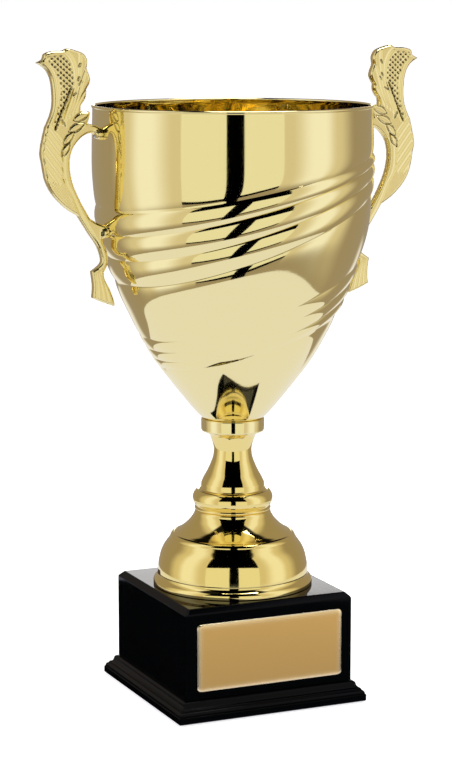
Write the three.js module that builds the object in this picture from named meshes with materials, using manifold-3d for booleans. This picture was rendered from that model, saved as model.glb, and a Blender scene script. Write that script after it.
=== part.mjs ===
// Cup trophy: a two-handled gilt cup on a moulded riser, bolted through a black square base.
// Millimetres, +Z up. The origin is on the floor under the cup's axis.
// The nameplate faces -Y and the two handles lie along X.

import * as THREE from 'three';
import { mergeVertices } from 'three/addons/utils/BufferGeometryUtils.js';
import Module from 'manifold-3d';

const wasm = await Module();
wasm.setup();

// ---------------------------------------------------------------- driving dimensions

const ROUND_SIDES = 40; // sides of the bowl
const TURNED_SIDES = 32; // sides of the riser's pieces
const SMALL_SIDES = 12; // sides of screws, washers and holes
const RUNNING_GAP = 0.3; // gap between a cut piece and its neighbour

const FELT_THICK = 1.0;
const FELT_HALF = 56.0;

const PLINTH_HALF = 58.9;
const PLINTH_TOP = 12.4;
const FASCIA_TOP = 5.4;

const BLOCK_HALF = 52.1;
const BLOCK_TOP = 65.1;
const BLOCK_CHAMFER = 2.9;

const PLATE_WIDTH = 91.0;
const PLATE_HEIGHT = 39.6;
const PLATE_MIDDLE = 36.6;
const PLATE_THICK = 1.2;
const PLATE_CORNER = 2.4;
const ADHESIVE_THICK = 0.4;
const ADHESIVE_MARGIN = 3.0;

const FOOT_LIP = 46.6; // radius where the riser stands on the block
const RISER_SEAM = 109.3; // height where the neck sits on the foot
const NECK_TOP = 155.3;
const COLLAR_TOP = 163.4;
const COLLAR_RADIUS = 18.9;
const RISER_WALL = 2.2;

const RIM_HEIGHT = 344.6;
const RIM_RADIUS = 80.0;
const BOWL_WALL = 1.0;
const BOWL_SEAT = COLLAR_TOP;
const BOWL_SEAT_RADIUS = 17.6;

const ROD_RADIUS = 3.0;
const ROD_HOLE = ROD_RADIUS + RUNNING_GAP;
const ROD_BOTTOM = 2.0;
const ROD_TOP = 173.6;
const NUT_ACROSS_FLATS = 10.0;
const NUT_HEIGHT = 5.0;
const WASHER_THICK = 1.2;

const HANDLE_THICK = 6.4;
const HANDLE_BEVEL = 0.5;

// ---------------------------------------------------------------- finishes

function finish(colour, roughness, metalness) {
  return new THREE.MeshStandardMaterial({ color: colour, roughness, metalness });
}

const giltSteel = finish(0xe0cf8f, 0.12, 1.0);
const giltCasting = finish(0xe6d28a, 0.2, 1.0);
const giltMoulding = finish(0xdcc478, 0.15, 1.0);
const blackLacquer = finish(0x0a0b0b, 0.08, 0.0);
const goldPlate = finish(0xb5934f, 0.4, 1.0);
const zincSteel = finish(0xa9abad, 0.35, 1.0);
const adhesiveFoam = finish(0xe8e6e0, 0.9, 0.0);
const darkFelt = finish(0x16181a, 1.0, 0.0);

// ---------------------------------------------------------------- solids, joins and cuts

const trophy = new THREE.Group();

function addPiece(name, geometry, material, parent = trophy) {
  const piece = new THREE.Mesh(geometry, material);
  piece.name = name;
  parent.add(piece);
  return piece;
}

function solidOf(geometry) {
  const bare = geometry.clone();
  bare.deleteAttribute('normal');
  bare.deleteAttribute('uv');
  const closed = mergeVertices(bare, 1e-4);
  const mesh = new wasm.Mesh({
    numProp: 3,
    vertProperties: new Float32Array(closed.attributes.position.array),
    triVerts: new Uint32Array(closed.index.array),
  });
  mesh.merge();
  return new wasm.Manifold(mesh);
}

function geometryOf(solid) {
  const mesh = solid.getMesh();
  const geometry = new THREE.BufferGeometry();
  geometry.setAttribute('position', new THREE.BufferAttribute(mesh.vertProperties, 3));
  geometry.setIndex(new THREE.BufferAttribute(mesh.triVerts, 1));
  geometry.computeVertexNormals();
  return geometry;
}

// A turned solid about Z. The profile holds [radius, height] pairs and closes on itself or on the axis.
function turned(profile, sides = ROUND_SIDES) {
  const points = profile.map(([radius, height]) => new THREE.Vector2(radius, height));
  const geometry = new THREE.LatheGeometry(points, sides);
  geometry.rotateX(Math.PI / 2);
  return geometry;
}

function closedProfile(profile) {
  return [...profile, profile[0]];
}

// A ring between two radii, standing from bottom to top.
function ring(inner, outer, bottom, top, sides = SMALL_SIDES) {
  return turned(closedProfile([[inner, bottom], [outer, bottom], [outer, top], [inner, top]]), sides);
}

function pin(radius, bottom, top, sides = SMALL_SIDES) {
  return turned([[0, bottom], [radius, bottom], [radius, top], [0, top]], sides);
}

// Points along a quarter or part circle, angles in degrees from the outward direction.
function arc(centreRadius, centreHeight, radius, fromDegrees, toDegrees, steps) {
  return Array.from({ length: steps + 1 }, (_, step) => {
    const turn = THREE.MathUtils.degToRad(fromDegrees + (step * (toDegrees - fromDegrees)) / steps);
    return [centreRadius + radius * Math.cos(turn), centreHeight + radius * Math.sin(turn)];
  });
}

function smooth(pairs, steps) {
  const curve = new THREE.SplineCurve(pairs.map(([x, y]) => new THREE.Vector2(x, y)));
  return curve.getPoints(steps).map((point) => [point.x, point.y]);
}

// ---------------------------------------------------------------- base

// A square moulding: each profile point is [half width, height], from the bottom up.
function squareMoulding(profile) {
  const diagonal = profile.map(([half, height]) => [half * Math.SQRT2, height]);
  const closed = [[0, profile[0][1]], ...diagonal, [0, profile[profile.length - 1][1]]];
  const geometry = turned(closed, 4);
  geometry.rotateZ(Math.PI / 4);
  return geometry;
}

const PLINTH_SCREW_PLACE = 38.0;
const PLINTH_SCREW_RADIUS = 1.7;
const PLINTH_SCREW_HEAD = 3.6;
const PLINTH_SCREW_TOP = 27.0;
const RECESS_RADIUS = 12.0;
const RECESS_TOP = 8.2;

function screwPlaces() {
  const places = [];
  for (const x of [-PLINTH_SCREW_PLACE, PLINTH_SCREW_PLACE]) {
    for (const y of [-PLINTH_SCREW_PLACE, PLINTH_SCREW_PLACE]) places.push([x, y]);
  }
  return places;
}

// Countersunk wood screw, driven upwards, its head flush with the plinth's underside.
function woodScrew(extra = 0) {
  const shank = PLINTH_SCREW_RADIUS + extra;
  const head = PLINTH_SCREW_HEAD + extra;
  const headBottom = FELT_THICK + (extra ? 0 : 0.2);
  return turned([
    [0, headBottom], [head, headBottom], [shank, headBottom + head - shank],
    [shank, PLINTH_SCREW_TOP - 4], [0, PLINTH_SCREW_TOP + extra],
  ], SMALL_SIDES);
}

function feltPad() {
  return squareMoulding([[FELT_HALF, 0], [FELT_HALF, FELT_THICK]]);
}

function plinth() {
  const profile = [
    [PLINTH_HALF, FELT_THICK],
    [PLINTH_HALF, FASCIA_TOP],
    ...arc(56.2, 5.9, 2.4, 0, 75, 3),
    [56.2, 8.7],
    [54.9, 9.3],
    [54.3, 10.6],
    ...arc(52.7, 10.8, 1.6, 0, 90, 3),
  ];
  let solid = solidOf(squareMoulding(profile));
  solid = solid.subtract(solidOf(pin(RECESS_RADIUS, FELT_THICK - 1, RECESS_TOP, 20)));
  solid = solid.subtract(solidOf(pin(ROD_HOLE, 0, PLINTH_TOP + 1)));
  for (const [x, y] of screwPlaces()) {
    const cutter = woodScrew(RUNNING_GAP).translate(x, y, 0);
    solid = solid.subtract(solidOf(cutter));
  }
  return geometryOf(solid);
}

function block() {
  const profile = [
    [BLOCK_HALF, PLINTH_TOP],
    [BLOCK_HALF, BLOCK_TOP - BLOCK_CHAMFER],
    [BLOCK_HALF - BLOCK_CHAMFER, BLOCK_TOP],
  ];
  let solid = solidOf(squareMoulding(profile));
  solid = solid.subtract(solidOf(pin(ROD_HOLE, 0, BLOCK_TOP + 1)));
  for (const [x, y] of screwPlaces()) {
    const cutter = woodScrew(RUNNING_GAP).translate(x, y, 0);
    solid = solid.subtract(solidOf(cutter));
  }
  return geometryOf(solid);
}

// A flat sheet standing against the block's front face.
function frontSheet(width, height, corner, back, thick) {
  const [w, h] = [width / 2, height / 2];
  const shape = new THREE.Shape();
  shape.moveTo(-w + corner, -h);
  shape.lineTo(w - corner, -h);
  shape.absarc(w - corner, -h + corner, corner, -Math.PI / 2, 0);
  shape.absarc(w - corner, h - corner, corner, 0, Math.PI / 2);
  shape.absarc(-w + corner, h - corner, corner, Math.PI / 2, Math.PI);
  shape.absarc(-w + corner, -h + corner, corner, Math.PI, 1.5 * Math.PI);
  const geometry = new THREE.ExtrudeGeometry(shape, { depth: thick, bevelEnabled: false, curveSegments: 3 });
  geometry.rotateX(Math.PI / 2);
  geometry.translate(0, -BLOCK_HALF - back, PLATE_MIDDLE);
  return geometry;
}

// ---------------------------------------------------------------- riser

// The foot: a hollow bell with a cupped top that the neck sits in.
function footBell() {
  const outer = [
    [FOOT_LIP, BLOCK_TOP], [FOOT_LIP, 67.6], [45.6, 69.2], [44.3, 70.4],
    [43.9, 74.8], [43.1, 79.0], [41.3, 84.0], [38.9, 88.6], [37.2, 91.4], [36.3, 93.0],
    [34.4, 95.9], [29.4, 100.2], [24.9, 103.8], [22.8, 106.8], [22.1, RISER_SEAM],
  ];
  const locatingRing = [[19.2, RISER_SEAM], [19.2, RISER_SEAM + 1.8], [16.6, RISER_SEAM + 1.8], [16.6, RISER_SEAM]];
  const inner = [
    [ROD_HOLE, RISER_SEAM], [ROD_HOLE, RISER_SEAM - RISER_WALL], [20.4, 107.0], [22.9, 102.2],
    [33.2, 93.4], [39.2, 83.4], [41.8, 74.6], [42.2, 70.0], [42.6, BLOCK_TOP],
  ];
  return turned(closedProfile([...outer, ...locatingRing, ...inner]), TURNED_SIDES);
}

// The neck: a hollow baluster over a round torus, open underneath.
function neck() {
  const outer = [
    [22.1, RISER_SEAM], ...arc(17.0, 115.2, 6.5, -50, 55, 5),
    [19.7, 121.6], [19.6, 123.2], [17.9, 126.6], [15.8, 130.6], [13.9, 134.8],
    [12.6, 139.2], [11.8, 143.9], [12.1, 147.8], [13.3, 151.0], [15.4, 153.2], [16.4, NECK_TOP],
  ];
  const inner = [
    [ROD_HOLE, NECK_TOP], [ROD_HOLE, NECK_TOP - 3], [10.4, 150.6], [9.4, 144.0],
    [10.8, 137.0], [15.4, 126.0], [17.3, 120.2], [19.5, 116.0], [19.5, RISER_SEAM],
  ];
  return turned(closedProfile([...outer, ...inner]), TURNED_SIDES);
}

function collar() {
  const profile = [
    [ROD_HOLE, NECK_TOP], [17.6, NECK_TOP], [18.6, NECK_TOP + 0.9], [COLLAR_RADIUS, NECK_TOP + 2.2],
    [COLLAR_RADIUS, COLLAR_TOP - 1.6], [18.4, COLLAR_TOP - 0.3], [17.8, COLLAR_TOP], [ROD_HOLE, COLLAR_TOP],
  ];
  return turned(closedProfile(profile), TURNED_SIDES);
}

// ---------------------------------------------------------------- bowl wall

// The wall without its ripples, [radius, height] from the seat to the rim.
const bowlWall = smooth([
  [BOWL_SEAT_RADIUS, BOWL_SEAT], [23.2, 169.1], [34.7, 183.4], [45.4, 197.7], [53.7, 212.0],
  [60.4, 225.6], [66.2, 238.2], [73.0, 257.0], [78.0, 275.0], [80.1, 298.0], [80.7, 314.0],
  [RIM_RADIUS, RIM_HEIGHT],
], 240);

function wallRadius(height) {
  const above = bowlWall.findIndex(([, z]) => z >= height);
  if (above < 0) return RIM_RADIUS;
  if (above === 0) return BOWL_SEAT_RADIUS;
  const [r0, z0] = bowlWall[above - 1];
  const [r1, z1] = bowlWall[above];
  return r0 + ((r1 - r0) * (height - z0)) / (z1 - z0);
}

// ---------------------------------------------------------------- handle fixings

const SCREW_RADIUS = 2.0;
const SCREW_HEAD_RADIUS = 3.6;
const SCREW_HEAD_HEIGHT = 2.2;
const SCREW_REACH = 4.4;
const HANDLE_WASHER_RADIUS = 4.4;
const HANDLE_WASHER_THICK = 0.8;
const BOSS_RADIUS = 3.9;
const BOSS_LENGTH = 5.4;

const SIDES = { left: -1, right: 1 };

// Where each handle is screwed on, and how far inside the plain wall its washer lies:
// the lower left one rests on the back of a fold.
const FIXINGS = [
  { name: 'upper', height: 329.4, washerDepth: { left: 1.7, right: 1.7 } },
  { name: 'lower', height: 274.6, washerDepth: { left: 2.9, right: 1.7 } },
];

// Local +Z points straight out of the wall at the fixing.
function fixingMatrix(side, fixing) {
  const lean = (wallRadius(fixing.height + 1) - wallRadius(fixing.height - 1)) / 2;
  const outward = new THREE.Vector3(SIDES[side], 0, -lean).normalize();
  const turn = new THREE.Quaternion().setFromUnitVectors(new THREE.Vector3(0, 0, 1), outward);
  const place = new THREE.Vector3(SIDES[side] * wallRadius(fixing.height), 0, fixing.height);
  return new THREE.Matrix4().compose(place, turn, new THREE.Vector3(1, 1, 1));
}

// ---------------------------------------------------------------- bowl

// Each fold of the ripples is a ring tipped about Y: [height on the axis, slope towards +X].
const UPPER_FOLDS = [[302.4, 0.2], [293.0, 0.26], [281.6, 0.31], [269.0, 0.36]];
const LOWER_FOLDS = [[231.8, 0.36], [223.2, 0.345], [215.6, 0.33], [209.4, 0.32]];
const FOLD_DEPTH = 1.0;
const UPPER_BULGE = 0.6;
const LOWER_BULGE = 0.8;

// Rows of the wall from the top down: [height on the axis, slope, how far it stands off the plain wall].
function wallRows(bulgeRows) {
  const rows = [[RIM_HEIGHT, 0, 0.4], [RIM_HEIGHT - 1.6, 0, 0.4], [RIM_HEIGHT - 2.4, 0, 0], [322, 0.1, 0]];
  const addFolds = (folds, bulge, between) => {
    folds.forEach(([height, slope], index) => {
      rows.push([height, slope, -FOLD_DEPTH]);
      const next = folds[index + 1];
      if (!next) return;
      for (let step = 1; step <= between; step += 1) {
        const part = step / (between + 1);
        rows.push([
          THREE.MathUtils.lerp(height, next[0], part),
          THREE.MathUtils.lerp(slope, next[1], part),
          bulge,
        ]);
      }
    });
  };
  rows.push([307.5, 0.18, 0]);
  addFolds(UPPER_FOLDS, UPPER_BULGE, bulgeRows);
  rows.push([264.5, 0.36, 0], [250, 0.36, 0], [236.4, 0.36, 0]);
  addFolds(LOWER_FOLDS, LOWER_BULGE, 1);
  rows.push([205.4, 0.28, 0], [196, 0.16, 0], [184, 0.06, 0], [174, 0.01, 0], [166, 0, 0], [BOWL_SEAT, 0, 0]);
  return rows;
}

// Turns the rows, then tips each one: a vertex slides up or down the plain wall as far as its row asks.
function tippedWall(profileRows, sides = ROUND_SIDES) {
  const flat = turned(profileRows.map((row) => [row.radius, row.height]), sides);
  const position = flat.attributes.position;
  const rowsPerTurn = profileRows.length;
  for (let index = 0; index < position.count; index += 1) {
    const row = profileRows[index % rowsPerTurn];
    const x = position.getX(index);
    const y = position.getY(index);
    const cosine = row.radius > 0 ? x / Math.hypot(x, y) : 0;
    let height = row.height;
    for (let pass = 0; pass < 12; pass += 1) {
      height = row.height + row.slope * wallRadius(height) * cosine;
    }
    if (row.slope === 0) continue;
    const scale = (wallRadius(height) + row.offset) / row.radius;
    position.setXYZ(index, x * scale, y * scale, height);
  }
  return flat;
}

function rowAt([height, slope, stand], offset) {
  return { height, slope, offset: stand + offset, radius: wallRadius(height) + stand + offset };
}

function bowl() {
  const outer = wallRows(2).map((row) => rowAt(row, 0));
  const inner = wallRows(1)
    .slice(0, -1)
    .map((row) => rowAt(row, -BOWL_WALL));
  inner[0].height -= 0.4;
  const seat = [
    { height: BOWL_SEAT, slope: 0, radius: ROD_HOLE },
    { height: BOWL_SEAT + BOWL_WALL, slope: 0, radius: ROD_HOLE },
    { height: BOWL_SEAT + BOWL_WALL, slope: 0, radius: BOWL_SEAT_RADIUS - 0.4 },
  ];
  const loop = [...inner, ...seat.reverse(), ...outer.reverse(), inner[0]];
  let solid = solidOf(tippedWall(loop));
  for (const side of Object.keys(SIDES)) {
    for (const fixing of FIXINGS) {
      const hole = pin(SCREW_RADIUS + RUNNING_GAP, -6, 6).applyMatrix4(fixingMatrix(side, fixing));
      solid = solid.subtract(solidOf(hole));
    }
  }
  return geometryOf(solid);
}

// The space that the bowl's outer face fills, grown by a small gap.
function bowlSpace(gap) {
  const outer = wallRows(2).map((row) => rowAt(row, gap));
  outer[0].height += gap;
  outer[outer.length - 1].height -= gap;
  const bottom = { height: BOWL_SEAT - gap, slope: 0, radius: 0 };
  const top = { height: RIM_HEIGHT + gap, slope: 0, radius: 0 };
  return solidOf(tippedWall([bottom, ...outer.reverse(), top]));
}

// ---------------------------------------------------------------- handles

// The right handle's outline in the XZ plane, one smooth stretch after another with corners between.
const HANDLE_STRETCHES = [
  [[118.4, 369.4], [114.8, 371.2], [113.6, 374.2], [109.0, 375.6], [103.0, 375.8], [100.4, 377.0], [96.5, 376.2]],
  [[96.5, 376.2], [91.4, 374.3], [88.9, 370.6], [89.4, 366.2]],
  [[89.4, 366.2], [87.5, 361.0], [87.9, 357.8], [89.8, 354.4]],
  [[89.8, 354.4], [89.8, 351.4], [91.0, 348.6], [93.0, 345.8], [93.2, 342.4]],
  [[93.2, 342.4], [90.4, 342.6], [87.9, 341.9], [88.4, 338.2], [89.4, 335.8]],
  [[89.4, 335.8], [84.8, 334.6], [81.8, 333.4], [79.4, 332.6]],
  [[79.4, 332.6], [79.4, 326.2]],
  [[79.4, 326.2], [83.0, 327.0], [85.8, 330.2], [89.6, 330.0], [93.9, 327.3], [98.3, 321.6], [100.0, 313.5],
    [98.5, 303.6], [94.3, 293.5], [88.3, 282.9]],
  [[88.3, 282.9], [83.0, 279.8], [75.4, 278.0]],
  [[75.4, 278.0], [75.4, 271.4]],
  [[75.4, 271.4], [80.6, 271.0], [78.2, 263.4], [77.7, 257.4], [80.3, 252.1]],
  [[80.3, 252.1], [79.6, 248.0], [76.4, 241.8], [73.8, 234.1], [74.7, 232.9]],
  [[74.7, 232.9], [81.3, 235.3], [86.8, 237.9]],
  [[86.8, 237.9], [86.3, 244.8], [87.3, 252.8]],
  [[87.3, 252.8], [83.9, 255.1], [81.6, 257.4], [81.4, 260.2], [83.8, 266.9], [89.2, 275.0], [95.2, 284.5]],
  [[95.2, 284.5], [100.6, 287.8], [105.4, 291.8], [110.6, 297.8], [114.0, 305.0], [115.4, 312.7],
    [116.5, 321.0], [113.6, 334.0]],
  [[113.6, 334.0], [110.2, 341.5], [109.0, 349.0], [110.0, 360.0], [113.4, 366.2], [118.4, 369.4]],
];

function handleOutline() {
  const points = [];
  for (const stretch of HANDLE_STRETCHES) {
    const steps = stretch.length === 2 ? 1 : Math.ceil(stretch.length * 1.25);
    points.push(...smooth(stretch, steps).slice(0, -1));
  }
  return new THREE.Shape(points.map(([x, z]) => new THREE.Vector2(x, z)));
}

function handlePlate() {
  const geometry = new THREE.ExtrudeGeometry(handleOutline(), {
    depth: HANDLE_THICK - 2 * HANDLE_BEVEL,
    bevelEnabled: true,
    bevelThickness: HANDLE_BEVEL,
    bevelSize: HANDLE_BEVEL,
    bevelOffset: -HANDLE_BEVEL,
    bevelSegments: 1,
  });
  geometry.rotateX(Math.PI / 2);
  geometry.translate(0, HANDLE_THICK / 2 - HANDLE_BEVEL, 0);
  return geometry;
}

// One casting serves both sides: the left one is turned round and trimmed to the wall it meets.
function handle(side) {
  const plate = handlePlate();
  if (side === 'left') plate.rotateZ(Math.PI);
  let solid = solidOf(plate);
  for (const fixing of FIXINGS) {
    const boss = pin(BOSS_RADIUS, -1, BOSS_LENGTH).applyMatrix4(fixingMatrix(side, fixing));
    solid = solid.add(solidOf(boss));
  }
  solid = solid.subtract(bowlSpace(RUNNING_GAP));
  for (const fixing of FIXINGS) {
    const hole = pin(SCREW_RADIUS + RUNNING_GAP, -4, SCREW_REACH + RUNNING_GAP);
    solid = solid.subtract(solidOf(hole.applyMatrix4(fixingMatrix(side, fixing))));
  }
  return geometryOf(solid);
}

function panHeadScrew(depth) {
  const headTop = -depth - HANDLE_WASHER_THICK;
  const headBottom = headTop - SCREW_HEAD_HEIGHT;
  return turned([
    [0, headBottom], [2.2, headBottom + 0.2], [3.2, headBottom + 0.9], [SCREW_HEAD_RADIUS, headTop],
    [SCREW_RADIUS, headTop], [SCREW_RADIUS, SCREW_REACH], [0, SCREW_REACH],
  ], SMALL_SIDES);
}

function addHandle(side) {
  addPiece(`handle_${side}`, handle(side), giltCasting);
  for (const fixing of FIXINGS) {
    const place = new THREE.Group();
    place.applyMatrix4(fixingMatrix(side, fixing));
    trophy.add(place);
    const depth = fixing.washerDepth[side];
    addPiece(`handle_screw_${side}_${fixing.name}`, panHeadScrew(depth), zincSteel, place);
    const washer = ring(SCREW_RADIUS + RUNNING_GAP, HANDLE_WASHER_RADIUS, -depth - HANDLE_WASHER_THICK, -depth);
    addPiece(`handle_washer_${side}_${fixing.name}`, washer, zincSteel, place);
  }
}

// ---------------------------------------------------------------- tie rod and nuts

// A hexagon nut from bottom up, with its corners along X.
function nut(bottom) {
  const corner = NUT_ACROSS_FLATS / Math.sqrt(3);
  const hexagon = solidOf(turned([
    [0, bottom], [corner, bottom], [corner, bottom + NUT_HEIGHT], [0, bottom + NUT_HEIGHT],
  ], 6));
  return geometryOf(hexagon.subtract(solidOf(pin(ROD_HOLE, bottom - 1, bottom + NUT_HEIGHT + 1))));
}

const BOWL_FLOOR = BOWL_SEAT + BOWL_WALL;
const BASE_WASHER_BOTTOM = RECESS_TOP - WASHER_THICK;

// ---------------------------------------------------------------- assembly, from the floor up

addPiece('felt_pad', feltPad(), darkFelt);
addPiece('base_plinth', plinth(), blackLacquer);
addPiece('base_block', block(), blackLacquer);
screwPlaces().forEach(([x, y], index) => {
  addPiece(`plinth_screw_${index + 1}`, woodScrew().translate(x, y, 0), zincSteel);
});
addPiece('nameplate_adhesive', frontSheet(
  PLATE_WIDTH - 2 * ADHESIVE_MARGIN, PLATE_HEIGHT - 2 * ADHESIVE_MARGIN, 1, 0, ADHESIVE_THICK,
), adhesiveFoam);
addPiece('nameplate', frontSheet(
  PLATE_WIDTH, PLATE_HEIGHT, PLATE_CORNER, ADHESIVE_THICK, PLATE_THICK,
), goldPlate);

addPiece('tie_rod', pin(ROD_RADIUS, ROD_BOTTOM, ROD_TOP), zincSteel);
addPiece('base_nut', nut(BASE_WASHER_BOTTOM - NUT_HEIGHT), zincSteel);
addPiece('base_washer', ring(ROD_HOLE, 9, BASE_WASHER_BOTTOM, RECESS_TOP, 20), zincSteel);

addPiece('foot_bell', footBell(), giltMoulding);
addPiece('stem_neck', neck(), giltMoulding);
addPiece('collar', collar(), giltSteel);

addPiece('bowl', bowl(), giltSteel);
addPiece('bowl_washer', ring(ROD_HOLE, 11, BOWL_FLOOR, BOWL_FLOOR + WASHER_THICK, 20), zincSteel);
addPiece('bowl_nut', nut(BOWL_FLOOR + WASHER_THICK), zincSteel);

Object.keys(SIDES).forEach(addHandle);

export default trophy;
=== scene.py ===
import math

import bmesh
import bpy
import numpy as np
from bpy.props import FloatProperty, FloatVectorProperty, IntProperty, PointerProperty
from mathutils import Matrix, Vector


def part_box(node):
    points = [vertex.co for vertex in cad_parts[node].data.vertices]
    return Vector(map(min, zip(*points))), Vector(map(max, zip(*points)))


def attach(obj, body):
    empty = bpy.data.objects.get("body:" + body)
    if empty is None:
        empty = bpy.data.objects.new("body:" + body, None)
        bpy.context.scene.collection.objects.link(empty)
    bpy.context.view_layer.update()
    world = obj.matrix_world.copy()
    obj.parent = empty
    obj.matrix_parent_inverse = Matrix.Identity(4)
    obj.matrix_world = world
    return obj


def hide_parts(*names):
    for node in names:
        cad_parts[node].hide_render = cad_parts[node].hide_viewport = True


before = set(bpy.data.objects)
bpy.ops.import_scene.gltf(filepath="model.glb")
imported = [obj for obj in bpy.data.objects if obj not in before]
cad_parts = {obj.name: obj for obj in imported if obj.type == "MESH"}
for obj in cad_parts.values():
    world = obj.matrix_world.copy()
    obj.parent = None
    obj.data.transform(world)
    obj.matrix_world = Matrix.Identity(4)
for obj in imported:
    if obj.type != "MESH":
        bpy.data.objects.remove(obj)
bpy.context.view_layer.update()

bl_info = {
    "name": "Cup Trophy",
    "version": (1, 0, 0),
    "blender": (4, 5, 0),
    "location": "View3D > Sidebar > Trophy",
    "description": "Builds a two-handled gilt cup trophy round its packed frame",
    "category": "Object",
}

BODY = "root"
MM = 0.001  # shapes are drawn in millimetres and turned to metres when they are finished


# ------------------------------------------------------------------ places taken from the frame

def cad_box(*nodes):
    """Lowest and highest corner, in millimetres, of some of the frame's nodes."""
    boxes = [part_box(node) for node in nodes]
    low = [min(box[0][axis] for box in boxes) / MM for axis in range(3)]
    high = [max(box[1][axis] for box in boxes) / MM for axis in range(3)]
    return Vector(low), Vector(high)


FELT_LOW, FELT_HIGH = cad_box("felt_pad")
PLINTH_LOW, PLINTH_HIGH = cad_box("base_plinth")
BLOCK_LOW, BLOCK_HIGH = cad_box("base_block")
PLATE_LOW, PLATE_HIGH = cad_box("nameplate")
TAPE_LOW, TAPE_HIGH = cad_box("nameplate_adhesive")
FOOT_LOW, FOOT_HIGH = cad_box("foot_bell")
NECK_LOW, NECK_HIGH = cad_box("stem_neck")
COLLAR_LOW, COLLAR_HIGH = cad_box("collar")
BOWL_LOW, BOWL_HIGH = cad_box("bowl")
ROD_LOW, ROD_HIGH = cad_box("tie_rod")


# ------------------------------------------------------------------ what a user may change

def linear(hex_colour):
    """An sRGB hex colour as linear red, green and blue."""
    parts = [int(hex_colour[start:start + 2], 16) / 255 for start in (1, 3, 5)]
    return tuple(part / 12.92 if part <= 0.04045 else ((part + 0.055) / 1.055) ** 2.4 for part in parts)


def colour_property(name, description, hex_colour):
    return FloatVectorProperty(
        name=name, description=description, subtype="COLOR", size=3, min=0, max=1, default=linear(hex_colour))


class TrophySizes(bpy.types.PropertyGroup):
    """Sizes in millimetres of what the frame leaves open."""

    wall: FloatProperty(name="Bowl wall", description="Thickness of the spun wall",
                        default=1.0, min=0.6, max=2)
    fold_depth: FloatProperty(name="Fold depth", description="How far each fold is pressed in",
                              default=1.0, min=0, max=2)
    upper_bulge: FloatProperty(name="Upper bulge", description="Rise between the upper folds",
                               default=0.6, min=0, max=2)
    lower_bulge: FloatProperty(name="Lower bulge", description="Rise between the lower folds",
                               default=0.8, min=0, max=2)
    casting_pitch: FloatProperty(name="Casting mesh pitch", description="Spacing of the handles' relief mesh",
                                 default=0.45, min=0.25, max=2)
    turned_steps: IntProperty(name="Turned steps", description="Steps round each large turned piece",
                              default=180, min=24, max=256)


class TrophyColours(bpy.types.PropertyGroup):
    """Colours of the finishes."""

    bowl_gold: colour_property("Bowl gold", "Pale gold plate of the bowl", "#F7E7A4")
    riser_gold: colour_property("Riser gold", "Deeper gold of the riser", "#F7E08C")
    handle_gold: colour_property("Handle gold", "Gold plate of the castings", "#F6E39C")
    # painted shade: this dark gold is mixed into the casting's crevices to stand in for the shade that falls
    # there
    recess_shade_gold: colour_property("Recess gold", "Gold in the casting's crevices", "#3A2A0E")
    lacquer: colour_property("Lacquer", "Black of the base", "#050607")
    plate_gold: colour_property("Plate gold", "Anodised gold of the nameplate", "#EFC170")
    # painted highlight: this pale gold is laid along the nameplate's rolled rim to stand in for the light it
    # catches
    plate_rim_highlight: colour_property("Plate rim", "Burnished gold of the nameplate's rim", "#FFF0C4")
    felt: colour_property("Felt", "Felt under the base", "#15171A")
    zinc: colour_property("Zinc", "Zinc plate of screws and nuts", "#B4B7BA")
    floor: colour_property("Floor", "Pale studio floor", "#F0F0EF")


def sizes():
    return bpy.context.scene.trophy_sizes


def colours():
    return bpy.context.scene.trophy_colours


# ------------------------------------------------------------------ materials

def add_node(material, kind, settings=None, **links):
    """Adds a node. Settings hold its properties and socket values, and links name the sockets fed.

    A socket goes by its name, or by its number as i0, i1 and so on. A node feeds its first output.
    """
    node = material.node_tree.nodes.new(kind)
    values = dict(settings or {})
    for name in [name for name in values if hasattr(node, name)]:
        setattr(node, name, values.pop(name))
    sockets = {socket.name: socket for socket in reversed(node.inputs) if socket.enabled}
    sockets.update({f"i{number}": socket for number, socket in enumerate(node.inputs)})
    for name, value in values.items():
        sockets[name].default_value = value
    for name, source in links.items():
        link(material, source, sockets[name])
    return node


def link(material, source, target):
    """Feeds a socket from another socket, or from a node's first working output."""
    if isinstance(source, bpy.types.Node):
        source = next(socket for socket in source.outputs if socket.enabled)
    material.node_tree.links.new(source, target)


def new_material(name, **shader):
    """A material with its Principled shader set up, and the shader node."""
    material = bpy.data.materials.new(name)
    material.use_nodes = True
    principled = material.node_tree.nodes["Principled BSDF"]
    for socket, value in shader.items():
        socket = socket.replace("_", " ")
        principled.inputs[socket].default_value = (*value, 1) if socket == "Base Color" else value
    return material, principled


def object_coordinates(material, scale=(1, 1, 1)):
    """Object coordinates in millimetres, stretched by scale."""
    place = add_node(material, "ShaderNodeTexCoord")
    per_mm = tuple(part / MM for part in scale)
    return add_node(material, "ShaderNodeMapping", {"Scale": per_mm}, Vector=place.outputs["Object"])


def spread(material, source, low, high):
    """Remaps a 0 to 1 value to the range low to high."""
    return add_node(material, "ShaderNodeMapRange", {"To Min": low, "To Max": high}, Value=source)


def spun_gold():
    """Spun steel sheet, polished and gold plated: a clear mirror with faint turning rings and soft smears."""
    material, shader = new_material(
        "spun_steel_gold_plated", Base_Color=colours().bowl_gold, Metallic=1.0, Roughness=0.05)
    smear = add_node(material, "ShaderNodeTexNoise", {"Scale": 0.045, "Detail": 3.0},
                     Vector=object_coordinates(material))
    link(material, spread(material, smear, 0.035, 0.075), shader.inputs["Roughness"])
    rings = add_node(material, "ShaderNodeTexNoise", {"Scale": 1.0, "Detail": 2.0},
                     Vector=object_coordinates(material, (0.02, 0.02, 0.9)))
    bump = add_node(material, "ShaderNodeBump", {"Strength": 0.12, "Distance": 0.00002},
                    Height=rings)
    link(material, bump, shader.inputs["Normal"])
    return material


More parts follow.
